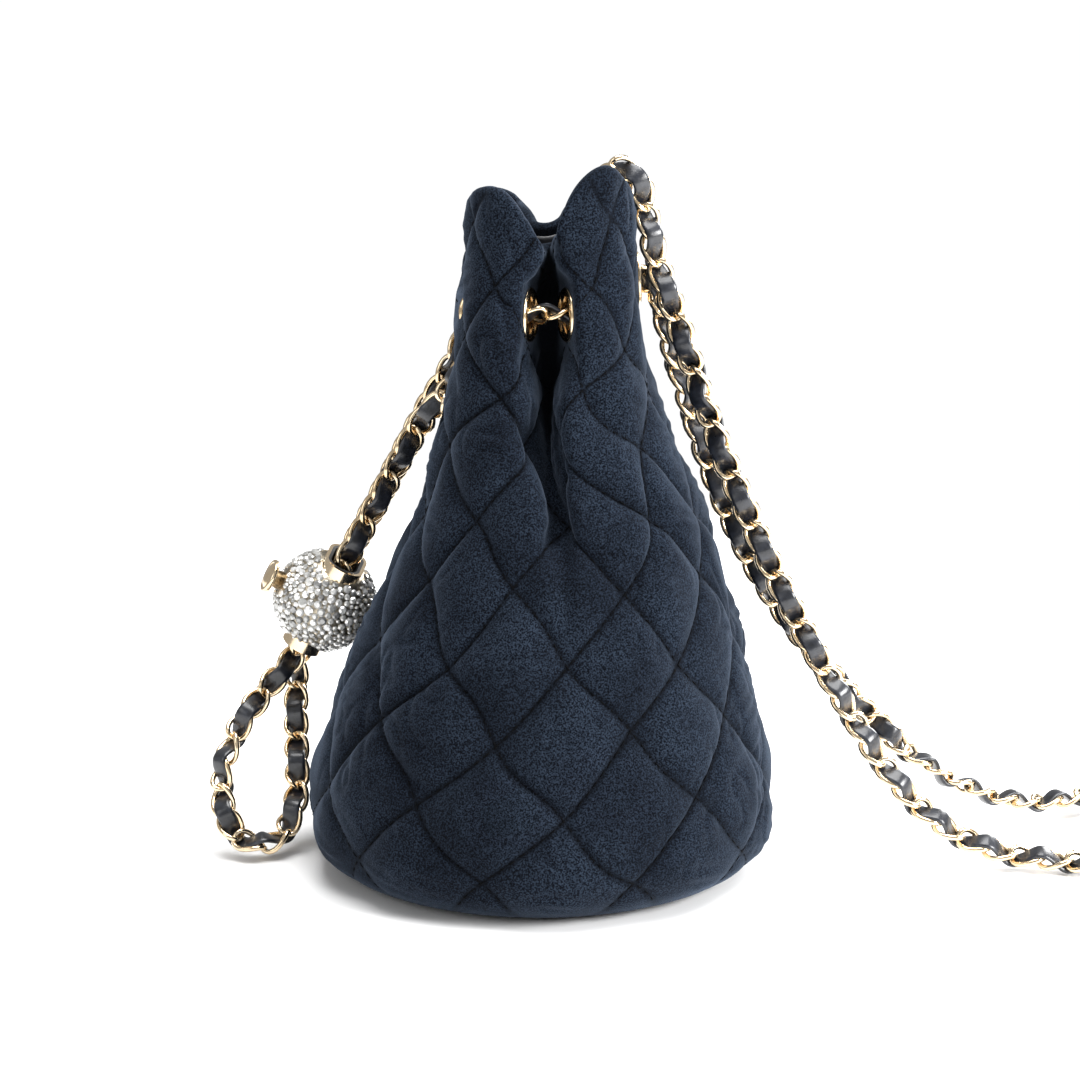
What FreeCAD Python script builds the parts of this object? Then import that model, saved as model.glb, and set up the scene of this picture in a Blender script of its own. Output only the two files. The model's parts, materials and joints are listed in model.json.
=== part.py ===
import FreeCAD, Part
import math
import os

import Sketcher

# A mini bucket bag of quilted velvet, drawn shut by one woven chain.
# Millimetres, +Z up, origin at the middle of the base on the surface it stands on.
# The front is towards -Y. The shoulder strap leaves over the rim on the +X side.

FRONT, LEFT, BACK = 270.0, 180.0, 90.0
PLEATS = {"front": FRONT, "left": LEFT, "back": BACK}
FOLD_EYELETS = {
    "left_front": LEFT + 15.0,
    "front_left": FRONT - 15.0,
    "front_right": FRONT + 15.0,
    "back_right": BACK - 15.0,
    "back_left": BACK + 15.0,
    "left_back": LEFT - 15.0,
}
# One more eyelet faces straight out of the right side and lets a strand of the strap through.
STRAP_EYELET = "right"

# height, half width, half depth, corner radius, sideways lean of each level of the bag
LEVELS = {
    "foot": (0.0, 57.3, 57.3, 56.9, 0.0),
    "belly": (9.0, 59.6, 59.6, 59.2, 0.0),
    "lower": (31.0, 57.0, 57.0, 56.4, 0.6),
    "middle": (60.0, 47.8, 47.8, 46.5, 2.6),
    "waist": (90.0, 36.8, 37.8, 33.5, 4.2),
    "shoulder": (114.0, 28.6, 30.5, 23.0, 3.0),
    "neck": (142.0, 22.8, 25.5, 16.0, 2.0),
    "rim": (172.0, 20.8, 23.2, 13.5, 2.4),
}

SIZES = {
    "shell_thickness": 3.0,
    "layer_gap": 0.15,
    "lining_thickness": 0.8,
    "facing_bottom": 128.0,
    "pleat_half_angle": 15.0,
    "pleat_inner_radius": 9.5,
    "pleat_outer_radius": 48.0,
    "pleat_inner_bottom": 124.0,
    "pleat_outer_bottom": 78.0,
    "mouth_lean": 2.0,
    "eyelet_height": 142.5,
    "eyelet_ring_radius": 17.2,
    "eyelet_bore_radius": 4.4,
    "eyelet_barrel_radius": 5.0,
    "eyelet_flange_radius": 6.7,
    "eyelet_flange_thickness": 0.8,
    "washer_clearance": 0.1,
    "strap_eyelet_side": 24.35,
    "strap_eyelet_back": 4.3,
    "strap_eyelet_height": 149.8,
    "strap_eyelet_lean": 3.0,
    "base_radius": 53.8,
    "base_velvet_thickness": 2.4,
    "base_board_thickness": 2.0,
    "base_lining_thickness": 0.8,
    "pocket_width": 46.0,
    "pocket_height": 38.0,
    "pocket_thickness": 1.6,
    "pocket_slope": 17.0,
    "pocket_distance": 46.5,
    "pocket_bottom": 14.0,
    "chain_radius": 3.2,
    "ball_radius": 13.8,
    "ball_setting_radius": 12.5,
    "ball_shell_radius": 12.4,
    "ball_shell_thickness": 1.2,
    "ball_slot_offset": 3.5,
    "ball_slot_radius": 3.7,
    "ball_sleeve_wall": 0.8,
    "ball_collar_wall": 0.9,
    "ball_collar_bottom": 9.2,
    "ball_collar_top": 12.9,
    "emblem_radius": 4.6,
    "emblem_thickness": 2.2,
    "emblem_post_radius": 2.4,
    "emblem_head": 15.4,
    "coil_radius": 36.0,
    "coil_height": 12.8,
}

# The closing ball sits on two strands of chain, which run straight through it.
BALL_CENTRE = FreeCAD.Vector(-56.8, 20.0, 63.6)
CHAIN_MEETS = FreeCAD.Vector(-16.6, 6.0, 139.0)
COIL_CENTRE = FreeCAD.Vector(192.0, 8.0, 0.0)

doc = FreeCAD.newDocument("bucket_bag")
sizes = doc.addObject("Spreadsheet::Sheet", "sizes")
row = 0
for alias, value in SIZES.items():
    row += 1
    sizes.set("A%d" % row, str(value))
    sizes.setAlias("A%d" % row, alias)
for level, figures in LEVELS.items():
    for field, value in zip(("height", "half_width", "half_depth", "corner", "lean"), figures):
        row += 1
        sizes.set("A%d" % row, str(value))
        sizes.setAlias("A%d" % row, level + "_" + field)
doc.recompute()


def size(alias):
    return float(getattr(sizes, alias))


def bind(obj, **expressions):
    """Ties properties of an object to cells of the sheet."""
    for name, expression in expressions.items():
        obj.setExpression(name, expression)


def origin_plane(body, role):
    return next(f for f in body.Origin.OriginFeatures if f.Role == role)


def new_sketch(body, name, height="0"):
    """A sketch parallel to the body's XY plane, at a height given by the sheet."""
    sketch = body.newObject("Sketcher::SketchObject", name)
    sketch.AttachmentSupport = [(origin_plane(body, "XY_Plane"), "")]
    sketch.MapMode = "FlatFace"
    sketch.setExpression(".AttachmentOffset.Base.z", height)
    return sketch


def circle_sketch(body, name, radius, height="0"):
    sketch = new_sketch(body, name, height)
    sketch.addGeometry(Part.Circle(FreeCAD.Vector(0, 0, 0), FreeCAD.Vector(0, 0, 1), 5.0))
    sketch.addConstraint(Sketcher.Constraint("Coincident", 0, 3, -1, 1))
    sketch.addConstraint(Sketcher.Constraint("Radius", 0, 5.0))
    sketch.renameConstraint(1, "radius")
    sketch.setExpression("Constraints.radius", radius)
    return sketch


def slot_sketch(body, name, offset, radius, height="0"):
    """Two half circles joined by straight sides, for two strands side by side along X."""
    sketch = new_sketch(body, name, height)
    across, along = 3.0, 3.0
    up = FreeCAD.Vector(0, 0, 1)
    right = Part.Circle(FreeCAD.Vector(across, 0, 0), up, along)
    left = Part.Circle(FreeCAD.Vector(-across, 0, 0), up, along)
    sketch.addGeometry(Part.ArcOfCircle(right, -math.pi / 2, math.pi / 2))
    sketch.addGeometry(Part.LineSegment(FreeCAD.Vector(across, along, 0), FreeCAD.Vector(-across, along, 0)))
    sketch.addGeometry(Part.ArcOfCircle(left, math.pi / 2, 3 * math.pi / 2))
    bottom_ends = (FreeCAD.Vector(-across, -along, 0), FreeCAD.Vector(across, -along, 0))
    sketch.addGeometry(Part.LineSegment(*bottom_ends))
    for a, end_a, b, end_b in ((0, 2, 1, 1), (1, 2, 2, 1), (2, 2, 3, 1), (3, 2, 0, 1)):
        sketch.addConstraint(Sketcher.Constraint("Tangent", a, end_a, b, end_b))
    sketch.addConstraint(Sketcher.Constraint("PointOnObject", 0, 3, -1))
    sketch.addConstraint(Sketcher.Constraint("Symmetric", 0, 3, 2, 3, -1, 1))
    sketch.addConstraint(Sketcher.Constraint("Equal", 0, 2))
    sketch.addConstraint(Sketcher.Constraint("DistanceX", -1, 1, 0, 3, across))
    sketch.renameConstraint(7, "offset")
    sketch.addConstraint(Sketcher.Constraint("Radius", 0, along))
    sketch.renameConstraint(8, "radius")
    sketch.setExpression("Constraints.offset", offset)
    sketch.setExpression("Constraints.radius", radius)
    return sketch


def level_sketch(body, level, inset):
    """The rounded square that the bag's wall follows at one level, moved in by inset."""
    figures = {f: size(level + "_" + f) for f in ("half_width", "half_depth", "corner", "lean")}
    wide, deep, corner = figures["half_width"], figures["half_depth"], figures["corner"]
    sketch = new_sketch(body, body.Label + "_" + level, "sizes." + level + "_height")
    up = FreeCAD.Vector(0, 0, 1)
    x, y = wide - corner, deep - corner
    for n, (i, j) in enumerate(((1, -1), (1, 1), (-1, 1), (-1, -1))):
        start = -math.pi / 2 + n * math.pi / 2
        circle = Part.Circle(FreeCAD.Vector(i * x, j * y, 0), up, corner)
        sketch.addGeometry(Part.ArcOfCircle(circle, start, start + math.pi / 2))
        turned = start + math.pi / 2
        a = FreeCAD.Vector(i * x + corner * math.cos(turned), j * y + corner * math.sin(turned), 0)
        side = ((0, 1), (-1, 0), (0, -1), (1, 0))[n]
        length = 2 * (y if n % 2 == 0 else x)
        if n == 0:
            b = FreeCAD.Vector(wide, y, 0)
        else:
            b = a + FreeCAD.Vector(side[0] * length, side[1] * length, 0)
        sketch.addGeometry(Part.LineSegment(a, b))
    for n in range(8):
        sketch.addConstraint(Sketcher.Constraint("Tangent", n, 2, (n + 1) % 8, 1))
    for n, word in ((1, "Vertical"), (3, "Horizontal"), (5, "Vertical"), (7, "Horizontal")):
        sketch.addConstraint(Sketcher.Constraint(word, n))
    for n in (2, 4, 6):
        sketch.addConstraint(Sketcher.Constraint("Equal", 0, n))
    cell = "sizes." + level + "_"
    drivers = (
        ("right", "DistanceX", 1, wide, "%slean + %shalf_width - (%s)" % (cell, cell, inset)),
        ("left", "DistanceX", 5, -wide, "%slean - %shalf_width + (%s)" % (cell, cell, inset)),
        ("back", "DistanceY", 3, deep, "%shalf_depth - (%s)" % (cell, inset)),
        ("front", "DistanceY", 7, -deep, "-%shalf_depth + (%s)" % (cell, inset)),
    )
    for n, (name, word, edge, value, expression) in enumerate(drivers):
        sketch.addConstraint(Sketcher.Constraint(word, -1, 1, edge, 1, value))
        sketch.renameConstraint(15 + n, name)
        sketch.setExpression("Constraints." + name, expression)
    sketch.addConstraint(Sketcher.Constraint("Radius", 0, corner))
    sketch.renameConstraint(19, "corner")
    sketch.setExpression("Constraints.corner", "%scorner - (%s)" % (cell, inset))
    return sketch


def new_body(name):
    body = doc.addObject("PartDesign::Body", name)
    body.Label = name
    return body


def pad(body, sketch, length):
    feature = body.newObject("PartDesign::Pad", sketch.Name + "_pad")
    feature.Profile = sketch
    feature.setExpression("Length", length)
    doc.recompute()
    return feature


def pocket_up(body, sketch, length):
    """Removes the sketch's shape from its own height upwards."""
    feature = body.newObject("PartDesign::Pocket", sketch.Name + "_pocket")
    feature.Profile = sketch
    feature.Reversed = True
    feature.setExpression("Length", length)
    doc.recompute()
    return feature


def boolean(kind, name, first, second):
    feature = doc.addObject("Part::" + kind, name)
    feature.Label = name
    feature.Base = first
    feature.Tool = second
    return feature


def fuse_all(name, shapes):
    feature = doc.addObject("Part::MultiFuse", name)
    feature.Shapes = shapes
    return feature


# ---- the bag's wall, in layers ----------------------------------------------------------------


def lofted_form(name, inset):
    body = new_body(name)
    sketches = [level_sketch(body, level, inset) for level in LEVELS]
    loft = body.newObject("PartDesign::AdditiveLoft", name + "_loft")
    loft.Profile = sketches[0]
    loft.Sections = sketches[1:]
    return body


def wall_depth():
    return size("shell_thickness") + size("layer_gap") + size("lining_thickness")


def ring_point(angle):
    """A point on the circle about the middle of the mouth that runs through the fold eyelets."""
    a = math.radians(angle)
    ring = size("eyelet_ring_radius")
    return FreeCAD.Vector(size("mouth_lean") + ring * math.cos(a), ring * math.sin(a), size("eyelet_height"))


def pleat_tool(name, angle, inset):
    """The space outside one inward fold: a wedge whose sides run towards the middle of the mouth."""
    wedge = doc.addObject("Part::Wedge", name)
    slope = "tan(sizes.pleat_half_angle * 1 deg)"
    sideways = "(%s) / cos(sizes.pleat_half_angle * 1 deg)" % inset
    inner = "(sizes.pleat_inner_radius - (%s))" % inset
    outer = "sizes.pleat_outer_radius"
    above = "sizes.rim_height + 2"
    bind(
        wedge,
        Ymin="%s * 1 mm" % inner,
        Ymax="%s * 1 mm" % outer,
        Xmin="-(%s * %s + %s) * 1 mm" % (inner, slope, sideways),
        Xmax="(%s * %s + %s) * 1 mm" % (inner, slope, sideways),
        X2min="-(%s * %s + %s) * 1 mm" % (outer, slope, sideways),
        X2max="(%s * %s + %s) * 1 mm" % (outer, slope, sideways),
        Zmin="(sizes.pleat_inner_bottom - (%s)) * 1 mm" % inset,
        Zmax="(%s) * 1 mm" % above,
        Z2min="(sizes.pleat_outer_bottom - (%s)) * 1 mm" % inset,
        Z2max="(%s) * 1 mm" % above,
    )
    turn = FreeCAD.Rotation(FreeCAD.Vector(0, 0, 1), angle - 90.0)
    wedge.Placement = FreeCAD.Placement(FreeCAD.Vector(size("mouth_lean"), 0, 0), turn)
    return wedge


def pleated_form(name, inset):
    """The solid inside the bag's outer face moved in by inset, with its folds."""
    form = lofted_form(name + "_form", inset)
    tools = [pleat_tool("%s_%s_fold" % (name, side), angle, inset) for side, angle in PLEATS.items()]
    return boolean("Cut", name, form, fuse_all(name + "_folds", tools))


def fold_direction(side):
    """Into the lobe, square to the wall of the fold that carries this eyelet."""
    angle = math.radians(FOLD_EYELETS[side])
    way = 1.0 if side in ("left_front", "front_right", "back_left") else -1.0
    return FreeCAD.Vector(-math.sin(angle), math.cos(angle), 0) * way


def eyelet_placement(side, depth):
    """The place of an eyelet part, depth in from the outer face of the wall, with +Z inwards."""
    if side == STRAP_EYELET:
        lean = math.radians(size("strap_eyelet_lean"))
        inwards = FreeCAD.Vector(-math.cos(lean), 0, -math.sin(lean))
        place = FreeCAD.Vector(*(size("strap_eyelet_" + way) for way in ("side", "back", "height")))
    else:
        inwards = fold_direction(side)
        place = ring_point(FOLD_EYELETS[side])
    return FreeCAD.Placement(place + inwards * depth, FreeCAD.Rotation(FreeCAD.Vector(0, 0, 1), inwards))


def eyelet_cylinders(name, radius, depth, length):
    cylinders = []
    for side in [*FOLD_EYELETS, STRAP_EYELET]:
        cylinder = doc.addObject("Part::Cylinder", "%s_%s" % (name, side))
        bind(cylinder, Radius="(%s) * 1 mm" % radius, Height="(%s) * 1 mm" % length)
        cylinder.Placement = eyelet_placement(side, depth)
        cylinders.append(cylinder)
    return cylinders


def eyelet_holes(name):
    """A hole for each barrel, and the padding pressed down under each flange and washer."""
    seat = "sizes.eyelet_flange_radius + sizes.washer_clearance"
    barrels = eyelet_cylinders(name + "_barrel", "sizes.eyelet_barrel_radius", -2.0, "8")
    flanges = eyelet_cylinders(name + "_flange", seat, -3.0, "3")
    washers = eyelet_cylinders(name + "_washer", seat, wall_depth(), "1.6")
    return fuse_all(name, barrels + flanges + washers)


def slab(name, bottom, height):
    box = doc.addObject("Part::Box", name)
    bind(box, Length="140 mm", Width="140 mm", Height="(%s) * 1 mm" % height)
    box.Placement = FreeCAD.Placement(FreeCAD.Vector(-70, -70, bottom), FreeCAD.Rotation())
    return box


wall = "sizes.shell_thickness"
inside_shell = wall + " + sizes.layer_gap"
inside_lining = inside_shell + " + sizes.lining_thickness"
base_stack = size("base_velvet_thickness") + size("base_board_thickness") + 2 * size("layer_gap")

outer_face = pleated_form("outer_face", "0")
shell_cavity = pleated_form("shell_cavity", wall)
lining_outside = pleated_form("lining_outside", inside_shell)
lining_inside = pleated_form("lining_inside", inside_lining)

plain_shell = boolean("Cut", "plain_shell", outer_face, shell_cavity)
quilted_shell = boolean("Cut", "quilted_shell", plain_shell, eyelet_holes("shell_holes"))
inner_layer = boolean("Cut", "inner_layer", lining_outside, lining_inside)

facing_slab = slab("facing_slab", size("facing_bottom"), "sizes.rim_height - sizes.facing_bottom")
plain_facing = boolean("Common", "plain_facing", inner_layer, facing_slab)
rim_facing = boolean("Cut", "rim_facing", plain_facing, eyelet_holes("facing_holes"))
lining_slab = slab(
    "lining_slab",
    base_stack,
    "sizes.facing_bottom - sizes.layer_gap - %s" % base_stack,
)
lining = boolean("Common", "lining", inner_layer, lining_slab)


# ---- the base ---------------------------------------------------------------------------------


def disc(name, radius, thickness, height):
    body = new_body(name)
    sketch = circle_sketch(body, name + "_outline", radius)
    pad(body, sketch, thickness)
    body.Placement.Base = FreeCAD.Vector(0, 0, height)
    return body


gap = size("layer_gap")
board_height = size("base_velvet_thickness") + gap
base_panel = disc("base_panel", "sizes.base_radius", "sizes.base_velvet_thickness", 0.0)
base_board = disc("base_board", "sizes.base_radius - 0.6", "sizes.base_board_thickness", board_height)
lining_base = disc(
    "lining_base",
    "sizes.base_radius - 0.4",
    "sizes.base_lining_thickness",
    base_stack + gap,
)

inner_pocket = doc.addObject("Part::Box", "inner_pocket")
bind(
    inner_pocket,
    Length="sizes.pocket_width * 1 mm",
    Width="sizes.pocket_thickness * 1 mm",
    Height="sizes.pocket_height * 1 mm",
)
inner_pocket.Placement = FreeCAD.Placement(
    FreeCAD.Vector(-size("pocket_width") / 2, size("pocket_distance"), size("pocket_bottom")),
    FreeCAD.Rotation(FreeCAD.Vector(1, 0, 0), size("pocket_slope")),
)


# ---- eyelets: a flanged barrel from the outside, a washer rolled on from the inside -----------


def eyelet(side):
    body = new_body("eyelet_" + side)
    flange = circle_sketch(body, side + "_flange", "sizes.eyelet_flange_radius")
    pad(body, flange, "sizes.eyelet_flange_thickness")
    barrel = circle_sketch(body, side + "_barrel", "sizes.eyelet_barrel_radius")
    layers = "sizes.shell_thickness + sizes.layer_gap + sizes.lining_thickness"
    reach = "sizes.eyelet_flange_thickness * 2 + " + layers
    pad(body, barrel, reach)
    pocket_up(body, circle_sketch(body, side + "_bore", "sizes.eyelet_bore_radius"), reach)
    body.Placement = eyelet_placement(side, -size("eyelet_flange_thickness"))
    return body


def washer(side):
    body = new_body("washer_" + side)
    outline = circle_sketch(body, side + "_washer", "sizes.eyelet_flange_radius")
    pad(body, outline, "sizes.eyelet_flange_thickness")
    hole = circle_sketch(body, side + "_washer_hole", "sizes.eyelet_barrel_radius")
    pocket_up(body, hole, "sizes.eyelet_flange_thickness")
    body.Placement = eyelet_placement(side, wall_depth())
    return body


eyelets = [eyelet(side) for side in [*FOLD_EYELETS, STRAP_EYELET]]
washers = [washer(side) for side in [*FOLD_EYELETS, STRAP_EYELET]]


# ---- chain: tubes of the woven chain's width along its real route -----------------------------


def rounded_path(points):
    """Straight runs joined by arcs as large as the runs allow. Returns the wire and the radii."""
    edges, radii = [], []
    start = points[0]
    for before, corner, after in zip(points, points[1:], points[2:]):
        run_in, run_out = corner - before, after - corner
        turn = run_in.getAngle(run_out)
        reach = 0.45 * min(run_in.Length, run_out.Length)
        radii.append(reach / math.tan(turn / 2))
        to_corner, from_corner = run_in.normalize(), run_out.normalize()
        a = corner - to_corner * reach
        b = corner + from_corner * reach
        middle = corner + (from_corner - to_corner).normalize() * (
            radii[-1] / math.cos(turn / 2) - radii[-1]
        )
        edges.append(Part.LineSegment(start, a).toShape())
        edges.append(Part.Arc(a, middle, b).toShape())
        start = b
    edges.append(Part.LineSegment(start, points[-1]).toShape())
    return Part.Wire(edges), radii


def tube(name, wire, radii):
    start = wire.Edges[0]
    direction = start.tangentAt(start.FirstParameter)
    section = Part.Wire(Part.makeCircle(size("chain_radius"), start.valueAt(start.FirstParameter), direction))
    feature = doc.addObject("Part::Feature", name)
    feature.Shape = wire.makePipeShell([section], True, False)
    expected = math.pi * size("chain_radius") ** 2 * wire.Length
    print(
        "%s: %.1f mm long, volume %.4f of section times length, radii %s"
        % (name, wire.Length, feature.Shape.Volume / expected, [round(r, 1) for r in radii])
    )
    return feature


def mouth_chain(name, first, last):
    """The chain that the eyelets hold: an arc about the middle of the mouth."""
    arc = Part.Arc(ring_point(first), ring_point((first + last) / 2), ring_point(last)).toShape()
    return tube(name, Part.Wire([arc]), [size("eyelet_ring_radius")])


# Past the front and back eyelets the chain runs on inside the right lobe as the strap.
INTO_FRONT, INTO_BACK = 8.0, 11.0
FRONT_END = FOLD_EYELETS["front_right"] + INTO_FRONT
BACK_END = FOLD_EYELETS["back_right"] - INTO_BACK
mouth_front = mouth_chain("mouth_chain_front", FOLD_EYELETS["left_front"] - 1.5, FRONT_END)
mouth_back = mouth_chain("mouth_chain_back", BACK_END, FOLD_EYELETS["left_back"] + 1.5)


def vectors(points):
    return [FreeCAD.Vector(*p) for p in points]


# From inside the right lobe, up over the rim, down to the surface and along it to the coil.
STRAND_FRONT = [
    (13.8, -13.7, 142.5),
    (16.4, -10.6, 146.6),
    (16.2, -8.6, 154.0),
    (15.5, -7.2, 162.0),
    (15.3, -6.5, 167.6),
    (15.5, -6.1, 173.3),
    (19.0, -5.8, 176.8),
    (24.0, -5.6, 176.8),
    (27.5, -5.4, 173.3),
    (28.0, -5.2, 165.0),
    (29.8, -5.0, 154.0),
    (34.2, -4.8, 139.5),
    (43.0, -4.6, 113.0),
    (52.0, -4.6, 91.5),
    (63.0, -5.2, 68.0),
    (75.0, -6.6, 46.5),
    (88.0, -8.6, 25.5),
    (102.0, -10.6, 10.8),
    (119.0, -12.6, 3.8),
    (140.0, -16.5, 3.4),
    (165.0, -25.0, 3.4),
    (192.0, -28.0, 3.4),
]
# From the strap eyelet's inner end, out through it, down to the surface and along it.
STRAND_BACK = [
    (15.0, 12.8, 142.5),
    (15.9, 8.0, 145.4),
    (17.5, 4.6, 149.2),
    (26.6, 4.0, 150.2),
    (30.4, 4.4, 146.4),
    (31.6, 5.4, 138.5),
    (35.0, 7.4, 126.5),
    (41.5, 10.6, 107.0),
    (50.0, 14.0, 85.0),
    (60.4, 17.0, 66.0),
    (73.5, 19.0, 48.0),
    (88.0, 20.6, 31.5),
    (103.0, 22.6, 17.8),
    (119.5, 25.8, 8.2),
    (138.0, 31.0, 4.0),
    (160.0, 41.0, 3.4),
    (192.0, 44.0, 3.4),
]
strand_front = tube("shoulder_chain_front", *rounded_path([ring_point(FRONT_END)] + vectors(STRAND_FRONT)))
strand_back = tube("shoulder_chain_back", *rounded_path([ring_point(BACK_END)] + vectors(STRAND_BACK)))

coil_body = new_body("coil_ring")
coil_outside = circle_sketch(coil_body, "coil_outside", "sizes.coil_radius + sizes.chain_radius")
pad(coil_body, coil_outside, "sizes.coil_height")
coil_inside = circle_sketch(coil_body, "coil_inside", "sizes.coil_radius - sizes.chain_radius")
pocket_up(coil_body, coil_inside, "sizes.coil_height")
coil_body.Label = "shoulder_chain_coil"
coil_body.Placement.Base = COIL_CENTRE


# ---- the closing ball, built about its own axis, then placed on the chain ---------------------

ball_axis = (CHAIN_MEETS - BALL_CENTRE).normalize()
across_chain = (FreeCAD.Vector(0, 1, 0) - ball_axis * ball_axis.y).normalize()
ball_turn = FreeCAD.Rotation(across_chain, ball_axis.cross(across_chain), ball_axis, "ZXY")
BALL_PLACE = FreeCAD.Placement(BALL_CENTRE, ball_turn)


def ball_point(along, across, aside=0.0):
    """A point given from the ball's middle: along its axis, across to a strand, and aside."""
    return BALL_PLACE.multVec(FreeCAD.Vector(across, aside, along))


def sphere(name, radius):
    ball = doc.addObject("Part::Sphere", name)
    bind(ball, Radius="(%s) * 1 mm" % radius)
    return ball


def slot_prism(name, wall_width, bottom, top):
    body = new_body(name)
    radius = "sizes.ball_slot_radius + %s" % wall_width
    outline = slot_sketch(body, name + "_outline", "sizes.ball_slot_offset", radius, bottom)
    pad(body, outline, "%s - (%s)" % (top, bottom))
    return body


def slot_tube(name, inner_width, outer_width, bottom, top):
    body = slot_prism(name, outer_width, bottom, top)
    radius = "sizes.ball_slot_radius + %s" % inner_width
    inner = slot_sketch(body, name + "_bore", "sizes.ball_slot_offset", radius, bottom)
    pocket_up(body, inner, "%s - (%s)" % (top, bottom))
    return body


sleeve_wall = "sizes.ball_sleeve_wall"
collar_wall = sleeve_wall + " + sizes.ball_collar_wall"
hollow_ball = boolean(
    "Cut",
    "hollow_ball",
    sphere("ball_outside", "sizes.ball_shell_radius"),
    sphere("ball_hollow", "sizes.ball_shell_radius - sizes.ball_shell_thickness"),
)
shell_slot = slot_prism("shell_slot", collar_wall, "-20", "20")
slotted_ball = boolean("Cut", "slotted_ball", hollow_ball, shell_slot)


def half_space(name, bottom):
    box = doc.addObject("Part::Box", name)
    bind(box, Length="40 mm", Width="40 mm", Height="20 mm")
    box.Placement.Base = FreeCAD.Vector(-20, -20, bottom)
    return box


ball_upper = boolean("Common", "ball_upper_shell", slotted_ball, half_space("upper_space", 0.0))
ball_lower = boolean("Common", "ball_lower_shell", slotted_ball, half_space("lower_space", -20.0))

stone_layer = boolean(
    "Cut",
    "stone_layer",
    sphere("stone_outside", "sizes.ball_radius"),
    sphere("stone_inside", "sizes.ball_setting_radius"),
)
stone_slot = slot_prism("stone_slot", collar_wall, "-20", "20")
slotted_layer = boolean("Cut", "slotted_layer", stone_layer, stone_slot)

# The emblem stands on the ball's upper left, square to its surface.
emblem_direction = ball_turn.inverted().multVec(FreeCAD.Vector(-0.86, -0.25, 0.45))
emblem_turn = FreeCAD.Rotation(FreeCAD.Vector(0, 0, 1), emblem_direction)
emblem_seat = doc.addObject("Part::Cylinder", "emblem_seat")
bind(emblem_seat, Radius="sizes.emblem_post_radius * 1 mm", Height="20 mm")
emblem_seat.Placement = FreeCAD.Placement(FreeCAD.Vector(), emblem_turn)
ball_stones = boolean("Cut", "ball_stone_setting", slotted_layer, emblem_seat)

emblem = new_body("ball_emblem")
post = circle_sketch(emblem, "emblem_post", "sizes.emblem_post_radius", "sizes.ball_setting_radius")
pad(emblem, post, "sizes.emblem_head - sizes.ball_setting_radius")
disc = circle_sketch(emblem, "emblem_disc", "sizes.emblem_radius", "sizes.emblem_head")
pad(emblem, disc, "sizes.emblem_thickness")

sleeve = slot_tube("ball_grip_sleeve", "0", sleeve_wall, "-sizes.ball_collar_top", "sizes.ball_collar_top")
collar_ends = ("sizes.ball_collar_bottom", "sizes.ball_collar_top")
collar_upper = slot_tube("ball_upper_collar", sleeve_wall, collar_wall, *collar_ends)
collar_low_ends = ("-sizes.ball_collar_top", "-sizes.ball_collar_bottom")
collar_lower = slot_tube("ball_lower_collar", sleeve_wall, collar_wall, *collar_low_ends)
doc.recompute()
emblem.Placement = BALL_PLACE.multiply(FreeCAD.Placement(FreeCAD.Vector(), emblem_turn))
for piece in (ball_upper, ball_lower, ball_stones, sleeve, collar_upper, collar_lower):
    piece.Placement = BALL_PLACE

# Out of the left fold's two eyelets, crossing, through the ball, round the hand loop and back.
SIDE = size("ball_slot_offset") - 0.1
OUT_FRONT = [(-16.0, -0.6, 145.0), (-20.8, 0.8, 145.6), (-25.9, 2.4, 139.8), (-28.4, 7.4, 128.0)]
HAND_LOOP = [
    (-65.4, 23.6, 36.0),
    (-64.6, 16.0, 24.0),
    (-63.6, 6.5, 12.6),
    (-66.6, -1.6, 5.4),
    (-73.5, -4.6, 3.4),
    (-80.4, -2.4, 7.2),
    (-84.0, 3.0, 18.5),
    (-80.0, 9.6, 31.0),
    (-72.4, 14.6, 40.6),
]
OUT_BACK = [(-28.6, 1.6, 122.5), (-25.0, -1.6, 131.5), (-20.6, -1.0, 138.2), (-16.0, 0.6, 139.8)]
RUNS = [(58.0, 0.0), (34.0, 0.05), (8.0, 0.0), (-5.0, 0.05), (-17.5, 0.0)]


def through_ball(side):
    """The straight stretch through the ball. A hair's breadth keeps its points out of line."""
    return [ball_point(along, side * (SIDE + extra)) for along, extra in RUNS]


closure_points = (
    [ring_point(FOLD_EYELETS["left_front"] - 1.5)]
    + vectors(OUT_FRONT)
    + through_ball(1)
    + vectors(HAND_LOOP)
    + through_ball(-1)[::-1]
    + vectors(OUT_BACK)
    + [ring_point(FOLD_EYELETS["left_back"] + 1.5)]
)
closure_chain = tube("closure_chain", *rounded_path(closure_points))

doc.recompute()

# ---- checks, then one STEP file for each piece ------------------------------------------------

pieces = (
    [quilted_shell, rim_facing, lining, base_panel, base_board, lining_base, inner_pocket]
    + eyelets
    + washers
    + [mouth_front, mouth_back, strand_front, strand_back, coil_body, closure_chain]
    + [ball_upper, ball_lower, ball_stones, emblem, sleeve, collar_upper, collar_lower]
)
for obj in doc.Objects:
    if "Invalid" in obj.State or "Error" in obj.State:
        raise RuntimeError("%s failed: %s" % (obj.Name, obj.State))
for piece in pieces:
    if piece.Shape.isNull() or not piece.Shape.isValid() or not piece.Shape.Solids:
        raise RuntimeError("%s has no valid solid" % piece.Label)
os.makedirs("parts", exist_ok=True)
for piece in pieces:
    piece.Shape.exportStep(os.path.join("parts", piece.Label + ".step"))
    print("%-24s %2d solids %9.1f mm3" % (piece.Label, len(piece.Shape.Solids), piece.Shape.Volume))
print("ball axis", tuple(round(v, 5) for v in ball_axis), "across", tuple(round(v, 5) for v in across_chain))
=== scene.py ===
import json
import math

import bpy
import numpy as np
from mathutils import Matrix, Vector, noise


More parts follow.
